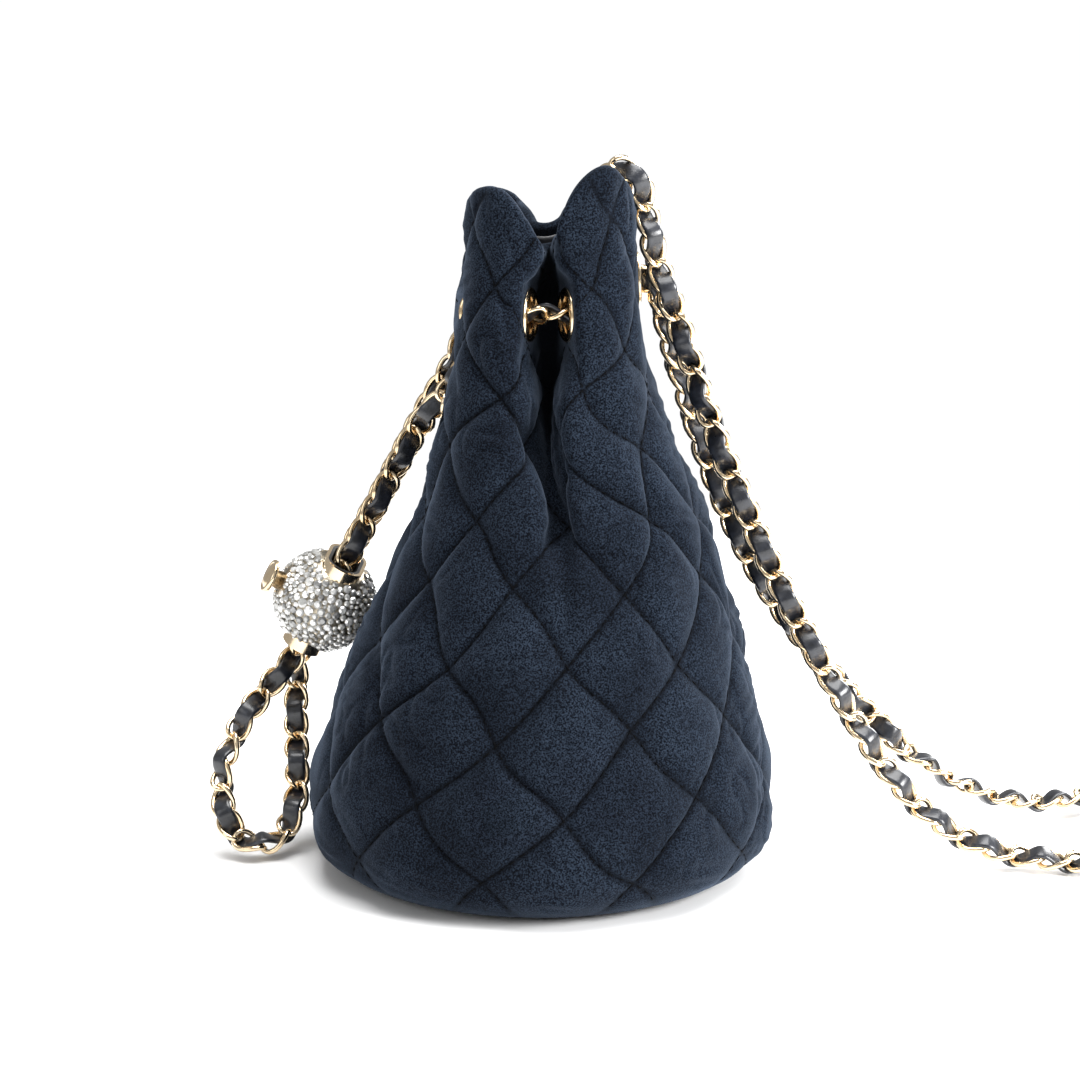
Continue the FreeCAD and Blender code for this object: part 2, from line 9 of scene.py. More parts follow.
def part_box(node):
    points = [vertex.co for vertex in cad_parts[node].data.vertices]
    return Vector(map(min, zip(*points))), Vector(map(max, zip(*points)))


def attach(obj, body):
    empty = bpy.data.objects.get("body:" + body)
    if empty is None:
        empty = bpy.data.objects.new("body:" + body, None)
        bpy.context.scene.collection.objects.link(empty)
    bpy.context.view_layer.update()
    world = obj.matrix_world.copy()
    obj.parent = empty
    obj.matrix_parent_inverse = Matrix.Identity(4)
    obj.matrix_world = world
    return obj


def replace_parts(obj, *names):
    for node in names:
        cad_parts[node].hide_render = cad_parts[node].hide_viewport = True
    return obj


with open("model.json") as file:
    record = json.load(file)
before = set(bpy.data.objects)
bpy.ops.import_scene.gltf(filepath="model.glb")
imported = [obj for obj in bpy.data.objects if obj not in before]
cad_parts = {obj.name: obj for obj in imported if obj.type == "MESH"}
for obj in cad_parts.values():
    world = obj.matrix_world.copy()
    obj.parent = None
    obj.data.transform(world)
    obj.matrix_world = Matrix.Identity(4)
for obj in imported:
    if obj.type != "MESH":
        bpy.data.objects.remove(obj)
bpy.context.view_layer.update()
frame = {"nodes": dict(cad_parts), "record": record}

# A mini bucket bag of quilted velvet, in metres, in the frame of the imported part.
# Round the bag, u runs from 0 at the front fold, by the right side (+X), to 1 at the front again.
COLUMNS, ROWS = 480, 250
DIAMONDS = 10
WALL = 0.0036
EYELET_RING = 0.0172
MOUTH_CENTRE = Vector((0.002, 0.0, 0.1425))
FOLD_ANGLES = {"front": 270.0, "left": 180.0, "back": 90.0}
FOLD_EYELETS = {
    "left_front": (195.0, 1), "front_left": (255.0, -1), "front_right": (285.0, 1),
    "back_right": (75.0, -1), "back_left": (105.0, 1), "left_back": (165.0, -1),
}
STRAP_LEAN = math.radians(3.0)
STRAP_EYELET = (Vector((0.02435, 0.0043, 0.1498)), Vector((-math.cos(STRAP_LEAN), 0, -math.sin(STRAP_LEAN))))

# height, half width, half depth, squareness and sideways lean of the bag's outline
LEVELS = np.array((
    (0.000, 0.0480, 0.0480, 2.00, 0.0000),
    (0.0015, 0.0520, 0.0520, 2.00, 0.0000),
    (0.003, 0.0545, 0.0545, 2.00, 0.0000),
    (0.005, 0.0568, 0.0568, 2.00, 0.0000),
    (0.009, 0.0590, 0.0590, 2.00, 0.0000),
    (0.020, 0.0591, 0.0591, 2.00, 0.0003),
    (0.034, 0.0559, 0.0559, 2.00, 0.0009),
    (0.050, 0.0510, 0.0512, 2.02, 0.0018),
    (0.070, 0.0440, 0.0450, 2.10, 0.0036),
    (0.090, 0.0366, 0.0380, 2.25, 0.0044),
    (0.110, 0.0296, 0.0318, 2.55, 0.0034),
    (0.126, 0.0252, 0.0276, 2.80, 0.0025),
    (0.142, 0.0227, 0.0256, 3.00, 0.0020),
    (0.160, 0.0213, 0.0240, 3.00, 0.0022),
    (0.182, 0.0200, 0.0224, 2.90, 0.0027),
))
# heights at which quilting seams cross, in the front column and half a diamond beside it in turn
CROSSINGS = (-0.008, 0.0105, 0.027, 0.0455, 0.062, 0.0795, 0.093, 0.1105, 0.124, 0.1365, 0.150, 0.165, 0.180)

ROUTE_FRONT = (
    (0.0138, -0.0137, 0.1425), (0.0164, -0.0106, 0.1466), (0.0162, -0.0086, 0.1540),
    (0.0155, -0.0072, 0.1620), (0.0153, -0.0065, 0.1676), (0.0150, -0.0061, 0.1733),
    (0.0172, -0.0058, 0.1770), (0.0212, -0.0056, 0.1772), (0.0246, -0.0054, 0.1738),
    (0.0264, -0.0052, 0.1650), (0.0288, -0.0050, 0.1540), (0.0342, -0.0048, 0.1395),
    (0.0430, -0.0046, 0.1130), (0.0520, -0.0046, 0.0915), (0.0630, -0.0052, 0.0680),
    (0.0750, -0.0066, 0.0465), (0.0880, -0.0086, 0.0255), (0.1020, -0.0106, 0.0108),
    (0.1190, -0.0126, 0.0038), (0.1400, -0.0165, 0.0034), (0.1650, -0.0250, 0.0034),
    (0.1920, -0.0280, 0.0034),
)
ROUTE_BACK = (
    (0.0150, 0.0128, 0.1425), (0.0159, 0.0080, 0.1454), (0.0175, 0.0046, 0.1492),
    (0.0266, 0.0040, 0.1502), (0.0304, 0.0044, 0.1464), (0.0316, 0.0054, 0.1385),
    (0.0350, 0.0074, 0.1265), (0.0415, 0.0106, 0.1070), (0.0500, 0.0140, 0.0850),
    (0.0604, 0.0170, 0.0660), (0.0735, 0.0190, 0.0480), (0.0880, 0.0206, 0.0315),
    (0.1030, 0.0226, 0.0178), (0.1195, 0.0258, 0.0082), (0.1380, 0.0310, 0.0040),
    (0.1600, 0.0410, 0.0060), (0.1920, 0.0440, 0.0094),
)
COIL_CENTRE, COIL_RADIUS, COIL_TURNS = Vector((0.192, 0.008, 0.0)), 0.036, 1.5
OUT_FRONT = (
    (-0.0157, -0.0006, 0.1446), (-0.0172, 0.0014, 0.1430), (-0.0186, 0.0024, 0.1360),
    (-0.0218, 0.0036, 0.1280), (-0.0268, 0.0082, 0.1195),
)
OUT_BACK = (
    (-0.0246, 0.0006, 0.1195), (-0.0202, -0.0020, 0.1255), (-0.0170, -0.0026, 0.1315),
    (-0.0158, -0.0016, 0.1375), (-0.0156, 0.0006, 0.1400),
)
HAND_LOOP = (
    (-0.0654, 0.0236, 0.0360), (-0.0646, 0.0160, 0.0240), (-0.0636, 0.0065, 0.0126),
    (-0.0666, -0.0016, 0.0054), (-0.0735, -0.0046, 0.0034), (-0.0804, -0.0024, 0.0072),
    (-0.0840, 0.0030, 0.0185), (-0.0800, 0.0096, 0.0310), (-0.0724, 0.0146, 0.0406),
)
BALL_RUNS = (0.058, 0.034, 0.008, -0.005, -0.0175)
BALL_CENTRE = Vector((-0.0568, 0.0200, 0.0636))
BALL_AXIS = Vector(frame["record"]["behaviour"]["joints"][0]["axis"]).normalized()
BALL_ACROSS = (Vector((0, 1, 0)) - BALL_AXIS * BALL_AXIS.y).normalized()
BALL_ASIDE = BALL_AXIS.cross(BALL_ACROSS)
STRAND_APART = 0.0034

CHAIN_WIDTH, CHAIN_PITCH, WIRE = 0.0070, 0.0070, 0.0007


# ---- materials --------------------------------------------------------------------------------


class Surface:
    """A Principled material and the few nodes that these materials share."""

    def __init__(self, name, roughness, metallic=0.0, **constants):
        self.material = bpy.data.materials.new(name)
        self.material.use_nodes = True
        self.tree = self.material.node_tree
        self.shader = self.tree.nodes["Principled BSDF"]
        self.shader.inputs["Roughness"].default_value = roughness
        self.shader.inputs["Metallic"].default_value = metallic
        for socket, value in constants.items():
            self.shader.inputs[socket.replace("_", " ")].default_value = value
        self.place = self.node("ShaderNodeTexCoord").outputs["Object"]

    def node(self, kind, **inputs):
        node = self.tree.nodes.new(kind)
        for socket, value in inputs.items():
            node.inputs[socket.replace("_", " ")].default_value = value
        return node

    def link(self, output, socket):
        self.tree.links.new(output, socket)

    def noise(self, scale, detail=2.0):
        noise = self.node("ShaderNodeTexNoise", Scale=scale, Detail=detail)
        self.link(self.place, noise.inputs["Vector"])
        return noise.outputs["Fac"]

    def ramp(self, factor, stops):
        ramp = self.node("ShaderNodeValToRGB")
        elements = ramp.color_ramp.elements
        while len(elements) < len(stops):
            elements.new(0.5)
        for element, (position, colour) in zip(elements, stops):
            element.position = position
            element.color = (*colour, 1.0)
        self.link(factor, ramp.inputs["Fac"])
        return ramp.outputs["Color"]

    def mix(self, factor, a, b, blend="MIX"):
        mix = self.tree.nodes.new("ShaderNodeMix")
        mix.data_type = "RGBA"
        mix.blend_type = blend
        for socket, value in ((mix.inputs[0], factor), (mix.inputs[6], a), (mix.inputs[7], b)):
            if isinstance(value, (float, tuple)):
                socket.default_value = value
            else:
                self.link(value, socket)
        return mix.outputs[2]

    def colour(self, output):
        self.link(output, self.shader.inputs["Base Color"])

    def rough(self, factor, low, high):
        spread = self.node("ShaderNodeMapRange")
        spread.inputs["To Min"].default_value = low
        spread.inputs["To Max"].default_value = high
        self.link(factor, spread.inputs["Value"])
        self.link(spread.outputs["Result"], self.shader.inputs["Roughness"])

    def bump(self, height, strength, distance):
        bump = self.node("ShaderNodeBump", Strength=strength, Distance=distance)
        self.link(height, bump.inputs["Height"])
        self.link(bump.outputs["Normal"], self.shader.inputs["Normal"])


def velvet():
    """Dark blue-black pile with a fine speckle, lit along its edges, darker in the seams, with painted shade
    in the deep folds and inside the mouth.
    """
    s = Surface("velvet", 0.95, Sheen_Weight=0.20, Sheen_Roughness=0.40, Sheen_Tint=(0.42, 0.54, 0.75, 1.0))
    s.shader.inputs["Specular IOR Level"].default_value = 0.08
    pile = s.ramp(s.noise(2500.0, 2.0), ((0.40, (0.0003, 0.0010, 0.0028)), (0.64, (0.0160, 0.0235, 0.0370))))
    brushed = s.ramp(s.noise(60.0, 4.0), ((0.36, (0.60, 0.62, 0.66)), (0.66, (1.20, 1.20, 1.20))))
    # The "seam" attribute darkens the colour towards near-black: along the seam lines, and as painted shade
    # in the deep folds and inside the mouth.
    seam = s.node("ShaderNodeAttribute")
    seam.attribute_name = "seam"
    colour = s.mix(1.0, pile, brushed, "MULTIPLY")
    s.colour(s.mix(seam.outputs["Fac"], colour, (0.0006, 0.0009, 0.0018, 1.0)))
    s.bump(s.noise(3000.0, 2.0), 0.40, 0.0002)
    return s.material


def woven_cloth(name, dark, light, scale, sheen=0.15):
    """Plain twill: fine diagonal threads."""
    s = Surface(name, 0.9, Sheen_Weight=sheen)
    s.shader.inputs["Specular IOR Level"].default_value = 0.1
    wave = s.node("ShaderNodeTexWave", Scale=scale, Distortion=0.6)
    wave.bands_direction = "DIAGONAL"
    s.link(s.place, wave.inputs["Vector"])
    s.colour(s.mix(s.noise(240.0), s.ramp(wave.outputs["Fac"], ((0.2, dark), (0.8, light))), (*dark, 1.0)))
    s.bump(wave.outputs["Fac"], 0.3, 0.0002)
    return s.material


def leather(name, roughness):
    """Smooth black leather with a fine grain and worn, slightly paler patches."""
    s = Surface(name, roughness, Coat_Weight=0.35, Coat_Roughness=0.22)
    grain = s.node("ShaderNodeTexVoronoi", Scale=1400.0)
    s.link(s.place, grain.inputs["Vector"])
    s.colour(s.ramp(s.noise(420.0), ((0.35, (0.006, 0.007, 0.010)), (0.75, (0.022, 0.025, 0.034)))))
    s.rough(s.noise(600.0), roughness - 0.08, roughness + 0.12)
    s.bump(grain.outputs["Distance"], 0.25, 0.0001)
    return s.material


def gold():
    """Pale polished gold plating with faint colour changes and hairline marks."""
    s = Surface("pale_gold", 0.16, metallic=1.0)
    s.colour(s.ramp(s.noise(130.0), ((0.3, (0.80, 0.60, 0.36)), (0.7, (0.90, 0.74, 0.52)))))
    s.rough(s.noise(900.0), 0.10, 0.24)
    s.bump(s.noise(2200.0), 0.05, 0.00005)
    return s.material


def stones():
    """Cut stones with metal foil behind them: each is a different grey, all are glossy."""
    s = Surface("cut_stones", 0.05, metallic=0.35, IOR=1.9, Coat_Weight=1.0, Coat_Roughness=0.02)
    island = s.node("ShaderNodeNewGeometry").outputs["Random Per Island"]
    greys = (
        (0.0, (0.10, 0.10, 0.10)), (0.3, (0.42, 0.42, 0.40)),
        (0.65, (0.80, 0.80, 0.77)), (1.0, (1.0, 1.0, 1.0)),
    )
    own = s.ramp(island, greys)
    s.colour(s.mix(0.25, own, s.ramp(s.noise(1600.0), ((0.3, (0.25, 0.25, 0.25)), (0.7, (1.0, 1.0, 1.0))))))
    return s.material


def setting_metal():
    s = Surface("setting_metal", 0.35, metallic=1.0)
    s.colour(s.ramp(s.noise(800.0), ((0.3, (0.16, 0.14, 0.11)), (0.7, (0.50, 0.44, 0.34)))))
    s.bump(s.noise(1500.0), 0.4, 0.0002)
    return s.material


def plain_board():
    s = Surface("board_fibre", 0.9)
    s.colour(s.ramp(s.noise(700.0, 6.0), ((0.3, (0.22, 0.17, 0.11)), (0.7, (0.36, 0.30, 0.22)))))
    s.bump(s.noise(1200.0), 0.3, 0.0002)
    return s.material


def grip_rubber():
    s = Surface("grip_rubber", 0.7)
    s.colour(s.ramp(s.noise(500.0), ((0.3, (0.010, 0.010, 0.010)), (0.7, (0.026, 0.026, 0.026)))))
    s.bump(s.noise(1800.0), 0.2, 0.0001)
    return s.material


VELVET, GOLD, STONES, SETTING = velvet(), gold(), stones(), setting_metal()
RIBBON, FACING = leather("ribbon_leather", 0.30), leather("facing_leather", 0.45)
LINING = woven_cloth("lining_twill", (0.006, 0.006, 0.008), (0.030, 0.030, 0.036), 900.0)
THREAD = woven_cloth("seam_thread", (0.0004, 0.0006, 0.0010), (0.0016, 0.0022, 0.0036), 2400.0, 0.0)


# ---- making pieces ----------------------------------------------------------------------------


def piece(name, points, faces, material, slot, body="bag", smooth=True):
    mesh = bpy.data.meshes.new(name)
    mesh.from_pydata([tuple(p) for p in points], [], [tuple(f) for f in faces])
    mesh.materials.append(material)
    mesh.polygons.foreach_set("use_smooth", [smooth] * len(mesh.polygons))
    obj = bpy.data.objects.new(name, mesh)
    bpy.context.scene.collection.objects.link(obj)
    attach(obj, body)
    return obj


def grid_faces(rows, columns, closed=True, start=0):
    """Quads between successive rings of points."""
    last = columns if closed else columns - 1
    return [
        (start + r * columns + c, start + r * columns + (c + 1) % columns,
         start + (r + 1) * columns + (c + 1) % columns, start + (r + 1) * columns + c)
        for r in range(rows - 1) for c in range(last)
    ]


def closing_faces(rows, columns):
    """Quads that join the last ring of points back to the first."""
    last = (rows - 1) * columns
    return [(last + c, last + (c + 1) % columns, (c + 1) % columns, c) for c in range(columns)]


def lathe(profile, origin, axis, steps=48):
    """Points and faces of a closed outline of (radius, height) turned about an axis."""
    turn = Vector(axis).to_track_quat("Z", "Y")
    points = [
        Vector(origin) + turn @ Vector((r * math.cos(a), r * math.sin(a), h))
        for r, h in profile
        for a in (2 * math.pi * k / steps for k in range(steps))
    ]
    faces = grid_faces(len(profile), steps)
    if profile[0][0] > 1e-6:
        faces += closing_faces(len(profile), steps)
    return points, faces


def smooth_curve(x, xs, ys):
    """A smooth line through the points (xs, ys), read at x."""
    slopes = np.gradient(ys, xs)
    i = np.clip(np.searchsorted(xs, x) - 1, 0, len(xs) - 2)
    width = xs[i + 1] - xs[i]
    t = np.clip((x - xs[i]) / width, 0, 1)
    rise = ys[i + 1] - ys[i]
    a = slopes[i] * width - rise
    b = rise - slopes[i + 1] * width
    return ys[i] + t * rise + t * (1 - t) * (a * (1 - t) + b * t)


def step(x, low, high):
    t = np.clip((x - low) / (high - low), 0, 1)
    return t * t * (3 - 2 * t)


def angle_between(a, b):
    return np.abs((a - b + 180.0) % 360.0 - 180.0)


# ---- the bag's surface ------------------------------------------------------------------------


def fold_width(side, z):
    """Half the angle that a fold takes at height z, in degrees."""
    if side != "front":
        return 9.0 + 6.0 * step(z, 0.100, 0.122)
    return 5.0 + 3.5 * step(z, 0.098, 0.116) + 6.5 * step(z, 0.120, 0.134) - 12.0 * step(z, 0.149, 0.158)


def section(z):
    """The bag's outline at height z as points round it, evenly spaced in u."""
    heights = LEVELS[:, 0]
    sizes = [float(smooth_curve(z, heights, column)) for column in LEVELS.T[1:]]
    half_width, half_depth, square, lean = sizes
    angle = np.linspace(270.0, 630.0, 5761)
    c, s = np.cos(np.radians(angle)), np.sin(np.radians(angle))
    radius = (np.abs(c / half_width) ** square + np.abs(s / half_depth) ** square) ** (-1.0 / square)
    inner = 0.0092
    for side, middle in FOLD_ANGLES.items():
        drift = 5.0 * math.exp(-(((z - 0.116) / 0.013) ** 2)) if side == "front" else 0.0
        off = angle_between(angle, middle - drift) / fold_width(side, z)
        depth = step(z, 0.080, 0.123) * (radius - inner)
        sharp = 0.35 - 0.23 * step(z, 0.105, 0.130)
        radius = radius - depth * (1.0 - step(off, 1.0 - sharp, 1.0 + sharp))
    outline = np.stack((lean + radius * c, radius * s), axis=1)
    length = np.concatenate(([0.0], np.cumsum(np.hypot(*np.diff(outline, axis=0).T))))
    even = np.arange(0.0, length[-1], 0.0004)
    outline = np.stack([np.interp(even, length, outline[:, k]) for k in (0, 1)], axis=1)
    reach = 11
    weights = np.exp(-0.5 * (np.arange(-reach, reach + 1) / 4.2) ** 2)
    padded = np.concatenate((outline[-reach:], outline, outline[:reach]))
    soft = np.stack([np.convolve(padded[:, k], weights / weights.sum(), "valid") for k in (0, 1)], axis=1)
    closed = np.concatenate((soft, soft[:1]))
    length = np.concatenate(([0.0], np.cumsum(np.hypot(*np.diff(closed, axis=0).T))))
    around = np.unwrap(np.arctan2(closed[:, 1], closed[:, 0] - lean))
    half = np.interp(around[0] + math.pi, around, length)
    u = np.linspace(0.0, 1.0, COLUMNS, endpoint=False)
    where = np.where(u < 0.5, 2 * u * half, half + (2 * u - 1) * (length[-1] - half))
    return np.stack([np.interp(where, length, closed[:, k]) for k in (0, 1)], axis=1)


HEIGHTS = np.linspace(0.0, 0.182, 365)
SECTIONS = np.array([section(z) for z in HEIGHTS])
AROUND = np.linspace(0.0, 1.0, COLUMNS, endpoint=False)


def rim_height():
    """How high the rim stands round the bag: low in the folds, highest on the front right lobe."""
    at_rim = SECTIONS[340]
    angle = np.degrees(np.arctan2(at_rim[:, 1], at_rim[:, 0] - 0.002)) % 360.0
    out = np.hypot(at_rim[:, 0] - 0.002, at_rim[:, 1])
    height = 0.1700 + 0.0070 * np.exp(-((angle_between(angle, 306.0) / 21.0) ** 2))
    height += 0.0020 * np.exp(-((angle_between(angle, 232.0) / 18.0) ** 2))
    height += 0.0025 * np.exp(-((angle_between(angle, 40.0) / 25.0) ** 2))
    for side, middle in FOLD_ANGLES.items():
        drop, spread = 0.0085, 17.0
        if side == "front":
            drop, spread = 0.0125, np.where(angle > middle, 9.0, 15.0)
        height -= drop * np.exp(-((angle_between(angle, middle) / spread) ** 2))
    height -= 0.002 * (1.0 - step(out, 0.010, 0.018))
    weights = np.exp(-0.5 * (np.arange(-12, 13) / 5.0) ** 2)
    return np.convolve(np.concatenate((height[-12:], height, height[:12])), weights / weights.sum(), "valid")


RIM = rim_height()


def outline_at(z):
    """The surface's points, one for each column, where z holds the height of each column."""
    spot = np.clip(z / HEIGHTS[1], 0, len(HEIGHTS) - 1.001)
    low = spot.astype(int)
    t = (spot - low)[:, None]
    columns = np.arange(COLUMNS)
    xy = SECTIONS[low, columns] * (1 - t) + SECTIONS[low + 1, columns] * t
    return np.column_stack((xy, z))


def outward(rows):
    """Unit normals of a grid of points, pointing out of the bag."""
    along = np.roll(rows, -1, axis=1) - np.roll(rows, 1, axis=1)
    up = np.gradient(rows, axis=0)
    normal = np.cross(along, up)
    return normal / np.maximum(np.linalg.norm(normal, axis=2, keepdims=True), 1e-9)


def row_number(z):
    """Heights counted in diamonds, so that seams cross where it and the column number agree."""
    return np.interp(z, CROSSINGS, np.arange(len(CROSSINGS)) / 2.0)


def column_number(u, z):
    """Diamonds round the bag. The quilting is turned a little from the front fold low down."""
    return DIAMONDS * u - 0.12 * (1.0 - step(z, 0.080, 0.120))


def seam_drift(u, z):
    """How far the soft cloth carries the seams from straight lines, round the bag and up it."""
    turn = 2 * math.pi * u
    aside = 0.0034 * np.sin(3 * turn + 95.0 * z + 0.6) + 0.0026 * np.sin(7 * turn - 150.0 * z + 2.1)
    up = 0.0010 * np.sin(5 * turn + 70.0 * z) + 0.0011 * np.sin(9 * turn - 110.0 * z + 1.3)
    return aside * (0.55 + 0.75 * step(z, 0.060, 0.110)), up


def seam_offsets(u, z):
    """How far a point lies from the nearest seam of each set, from 0 on it to 1 midway."""
    aside, up = seam_drift(u, z)
    row, column = row_number(z + up), column_number(u + aside, z + up)
    a = np.abs((row - column + 0.5) % 1.0 - 0.5) * 2
    b = np.abs((row + column + 0.5) % 1.0 - 0.5) * 2
    return a, b


def eyelet_places():
    """(name, middle of the hole on the outer face, direction into the lobe) of every eyelet."""
    places = []
    for name, (angle, way) in FOLD_EYELETS.items():
        a = math.radians(angle)
        place = MOUTH_CENTRE + Vector((math.cos(a), math.sin(a), 0)) * EYELET_RING
        places.append((name, place, Vector((-math.sin(a), math.cos(a), 0)) * way))
    places.append(("right", *STRAP_EYELET))
    return places


EYELETS = eyelet_places()


def press_to_eyelets(points, depth):
    """Lays the surface flat under each flange or washer, depth in from the wall's outer face."""
    flat = np.ones(points.shape[:-1])
    for name, place, inwards in EYELETS:
        off = points - np.array(place)
        height = off @ np.array(inwards) - depth
        ring = np.linalg.norm(off - (off @ np.array(inwards))[..., None] * np.array(inwards), axis=-1)
        near = np.abs(height) < 0.0040
        pull = np.where(near, 1.0 - step(ring, 0.0072, 0.0112), 0.0)
        points = points - (height * pull)[..., None] * np.array(inwards)
        flat = np.minimum(flat, np.where(near, step(ring, 0.0072, 0.0130), 1.0))
    return points, flat


def through_eyelet(points, depth):
    """True for points inside an eyelet's hole."""
    inside = np.zeros(points.shape[:-1], bool)
    for name, place, inwards in EYELETS:
        off = points - np.array(place)
        height = off @ np.array(inwards)
        ring = np.linalg.norm(off - height[..., None] * np.array(inwards), axis=-1)
        inside |= (ring < 0.0052) & (np.abs(height - depth) < 0.002)
    return inside


def creases(u, z):
    """Shallow hollows: below the front fold's end, and where the cloth buckles low on the left."""
    depth = np.zeros(np.broadcast(u, z).shape)
    column = (DIAMONDS * u + 5.0) % 10.0 - 5.0
    for c0, z0, c1, z1, wide, deep in (
        (0.02, 0.094, 0.10, 0.068, 0.0030, 0.0016), (-0.10, 0.092, -0.55, 0.084, 0.0022, 0.0010),
        (-1.05, 0.044, -0.62, 0.036, 0.0020, 0.0012), (-1.10, 0.036, -0.70, 0.030, 0.0018, 0.0009),
        (0.30, 0.112, 0.62, 0.098, 0.0024, 0.0009), (-0.85, 0.128, -0.45, 0.140, 0.0024, 0.0008),
        (1.30, 0.100, 1.02, 0.086, 0.0024, 0.0008), (-1.9, 0.060, -1.5, 0.052, 0.0022, 0.0009),
        (2.2, 0.070, 2.7, 0.058, 0.0024, 0.0009), (4.1, 0.050, 4.5, 0.060, 0.0024, 0.0010),
        (0.22, 0.166, 0.70, 0.157, 0.0022, 0.0013), (-0.75, 0.116, -0.30, 0.109, 0.0024, 0.0012),
        (0.16, 0.128, 0.36, 0.112, 0.0022, 0.0010),
        (-3.6, 0.080, -3.1, 0.070, 0.0022, 0.0009), (0.9, 0.020, 1.3, 0.026, 0.0018, 0.0007),
    ):
        x, y = (column - c0) * 0.030, z - z0
        dx, dy = (c1 - c0) * 0.030, z1 - z0
        t = np.clip((x * dx + y * dy) / (dx * dx + dy * dy), 0.0, 1.0)
        off = np.hypot(x - t * dx, y - t * dy)
        depth += deep * np.exp(-((off / wide) ** 2)) * (1.0 - 0.6 * np.abs(2 * t - 1))
    return depth


def crumple(points):
    """Soft uneven dents and short wrinkles of the padded cloth."""
    flat = points.reshape(-1, 3)
    broad = np.array([noise.noise(Vector(p) * 46.0) for p in flat])
    fine = np.array([noise.noise(Vector((p[0] * 150.0, p[1] * 150.0, p[2] * 95.0 + 7.0))) for p in flat])
    ridges = 1.0 - np.abs(fine) * 2.6
    dents = 0.0011 * broad - 0.00075 * np.clip(ridges, 0.0, 1.0) ** 3 * np.clip(0.35 + broad, 0.0, 1.0)
    return dents.reshape(points.shape[:2])


def padding(u, z):
    """How far the padding stands out between the seams, and how close each point is to a seam."""
    a, b = seam_offsets(u, z)
    pillow = ((1 - (1 - a) ** 2.6) * (1 - (1 - b) ** 2.6)) ** 0.62
    full = 0.0027 * (0.55 + 0.45 * step(z, 0.006, 0.030)) * (1.0 - 0.38 * step(z, 0.108, 0.136))
    column = DIAMONDS * u
    ripple = 0.00035 * np.sin(9.0 * column + 31.0 * np.sin(60.0 * z)) * np.sin(170.0 * z + 5.0 * column)
    soft = 0.0005 * np.sin(2.3 * column + 90.0 * z) * np.cos(1.7 * column - 120.0 * z)
    nearest = np.minimum(a, b)
    stand = full * pillow - 0.0010 + (ripple + soft) * nearest - creases(u, z)
    return stand * step(z, 0.0, 0.010), np.exp(-((nearest / 0.055) ** 2))


def velvet_body():
    """The outer face from the base up, rolled over the rim and a little way down inside."""
    shares = np.linspace(0.0, 1.0, ROWS)
    rows = np.array([outline_at(w * RIM) for w in shares])
    bare, flat = press_to_eyelets(rows, 0.0)
    normal = outward(bare)
    u, z = AROUND[None, :], rows[..., 2]
    stand, seam = padding(u, z)
    stand = stand + crumple(bare) * (1.0 - 0.75 * seam) * step(z, 0.004, 0.014)
    in_fold = np.hypot(bare[..., 0] - 0.002, bare[..., 1])
    stand = stand * flat * (0.45 + 0.55 * step(in_fold, 0.010, 0.022))
    stand = stand * (1.0 - step(z / RIM, 0.975, 1.0) * 0.7)
    outer = bare + normal * stand[..., None]
    top, top_normal = outer[-1], normal[-1] * np.array((1.0, 1.0, 0.0))
    top_normal /= np.linalg.norm(top_normal, axis=1, keepdims=True)
    middle = top - top_normal * WALL / 2
    roll = [
        middle + (top_normal * math.cos(a) + np.array((0, 0, 1.0)) * math.sin(a)) * WALL / 2
        for a in np.linspace(0.0, math.pi, 9)[1:]
    ]
    inner_rows = np.array([outline_at(RIM - d) for d in np.linspace(0.0, 0.011, 12)[1:]])
    inner = inner_rows + outward(inner_rows) * WALL
    under = []
    for share, height in ((0.985, 0.0), (0.955, 0.0), (0.945, 0.0008), (0.945, 0.0026)):
        ring = outline_at(np.zeros(COLUMNS)) * np.array((share, share, 0.0))
        ring[:, 2] = height
        under.append(ring)
    points = np.concatenate((np.array(under)[::-1], outer, np.array(roll), inner))
    # Darkening of the velvet's colour, stored as the "seam" attribute: the dark seam lines, plus painted
    # shade.
    seam_and_painted_shade = np.zeros(points.shape[:2])
    # Painted shade: the velvet deep in the folds, near the mouth's middle, is darkened as if in shadow.
    deep = (1.0 - step(in_fold, 0.010, 0.021)) * step(z, 0.085, 0.110)
    seam_and_painted_shade[4:4 + ROWS] = np.maximum(seam * flat * 0.85, 0.92 * deep)
    # Painted shade: the velvet from the rim's roll down inside the mouth is darkened as if in shadow.
    seam_and_painted_shade[4 + ROWS + 7:] = 0.80
    holes = through_eyelet(points, 0.0)
    holes[:4] = False
    faces = grid_faces(len(points), COLUMNS)
    hole = holes.reshape(-1)
    faces = [f for f in faces if not all(hole[list(f)])]
    obj = piece("velvet_body", points.reshape(-1, 3), faces, VELVET, "velvet")
    attribute = obj.data.attributes.new("seam", "FLOAT", "POINT")
    attribute.data.foreach_set("value", seam_and_painted_shade.reshape(-1).astype(np.float32))
    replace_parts(obj, "quilted_shell")
    return outer, normal


def on_surface(grid, u, z):
    """A point of the finished outer face, by u and height."""
    column = (u % 1.0) * COLUMNS
    c0 = int(column) % COLUMNS
    row = min(z / (RIM[c0]) * (ROWS - 1), ROWS - 1.001)
    r0, s, t = int(row), column - int(column), row - int(row)
    c1 = (c0 + 1) % COLUMNS
    low = grid[r0, c0] * (1 - s) + grid[r0, c1] * s
    high = grid[r0 + 1, c0] * (1 - s) + grid[r0 + 1, c1] * s
    return low * (1 - t) + high * t


